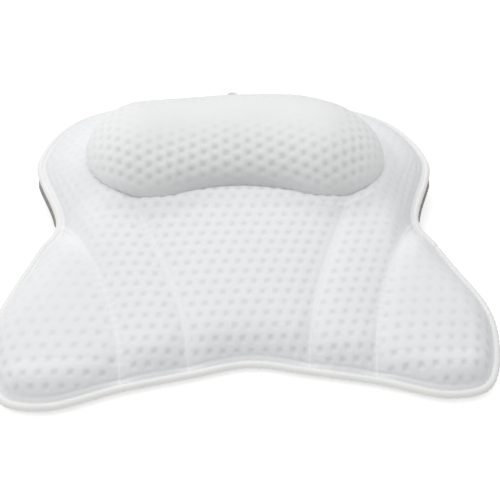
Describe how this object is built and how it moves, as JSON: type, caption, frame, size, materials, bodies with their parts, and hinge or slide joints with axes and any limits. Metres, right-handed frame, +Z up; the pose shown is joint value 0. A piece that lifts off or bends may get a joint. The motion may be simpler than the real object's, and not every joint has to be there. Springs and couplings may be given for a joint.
{
  "type": "bath pillow",
  "caption": "Winged bath pillow: a panelled air-mesh pad with a piped edge and a kidney-shaped headrest, swivelling suction cups below and a hanging loop at the back.",
  "frame": {"origin": "on the surface the pillow lies on, under the middle of its bounding box", "axes": "+X to the right seen from the front, +Y from the wings towards the head end, +Z up out of the surface"},
  "size_m": [0.408, 0.396, 0.0993],
  "materials": {
    "air_mesh": "matte",
    "rear_mesh": "matte",
    "piping": "matte",
    "fibre_fill": "matte",
    "webbing": "matte",
    "soft_vinyl": "gloss"
  },
  "bodies": {
    "pillow": {"centre_panel": "air_mesh", "yoke_panel": "air_mesh", "right_wing_panel": "air_mesh", "left_wing_panel": "air_mesh", "rear_cover": "rear_mesh", "edge_piping": "piping", "pad_fill": "fibre_fill", "headrest_cover": "air_mesh", "headrest_fill": "fibre_fill", "cup_patch_head_right": "webbing", "cup_patch_head_left": "webbing", "cup_patch_middle_right": "webbing", "cup_patch_middle_left": "webbing", "cup_patch_wing_right": "webbing", "cup_patch_wing_left": "webbing"},
    "cup_head_right": {"suction_cup_head_right": "soft_vinyl"},
    "cup_head_left": {"suction_cup_head_left": "soft_vinyl"},
    "cup_middle_right": {"suction_cup_middle_right": "soft_vinyl"},
    "cup_middle_left": {"suction_cup_middle_left": "soft_vinyl"},
    "cup_wing_right": {"suction_cup_wing_right": "soft_vinyl"},
    "cup_wing_left": {"suction_cup_wing_left": "soft_vinyl"},
    "loop": {"hanging_loop": "webbing"}
  },
  "joints": [
    {"name": "spin_head_right", "type": "hinge", "parent": "pillow", "child": "cup_head_right", "pos_m": [0.108, 0.09469, 0.0096], "axis": [0, 0, 1], "continuous": true},
    {"name": "spin_head_left", "type": "hinge", "parent": "pillow", "child": "cup_head_left", "pos_m": [-0.108, 0.09469, 0.0096], "axis": [0, 0, 1], "continuous": true},
    {"name": "spin_middle_right", "type": "hinge", "parent": "pillow", "child": "cup_middle_right", "pos_m": [0.064, -0.03801, 0.0096], "axis": [0, 0, 1], "continuous": true},
    {"name": "spin_middle_left", "type": "hinge", "parent": "pillow", "child": "cup_middle_left", "pos_m": [-0.064, -0.03801, 0.0096], "axis": [0, 0, 1], "continuous": true},
    {"name": "spin_wing_right", "type": "hinge", "parent": "pillow", "child": "cup_wing_right", "pos_m": [0.1347, -0.12871, 0.0096], "axis": [0, 0, 1], "continuous": true},
    {"name": "spin_wing_left", "type": "hinge", "parent": "pillow", "child": "cup_wing_left", "pos_m": [-0.1347, -0.12871, 0.0096], "axis": [0, 0, 1], "continuous": true},
    {"name": "loop_fold", "type": "hinge", "parent": "pillow", "child": "loop", "pos_m": [0, 0.17901, 0.03281], "axis": [1, 0, 0], "range_deg": [-60, 110], "stiffness_Nm_per_rad": 0.002}
  ]
}
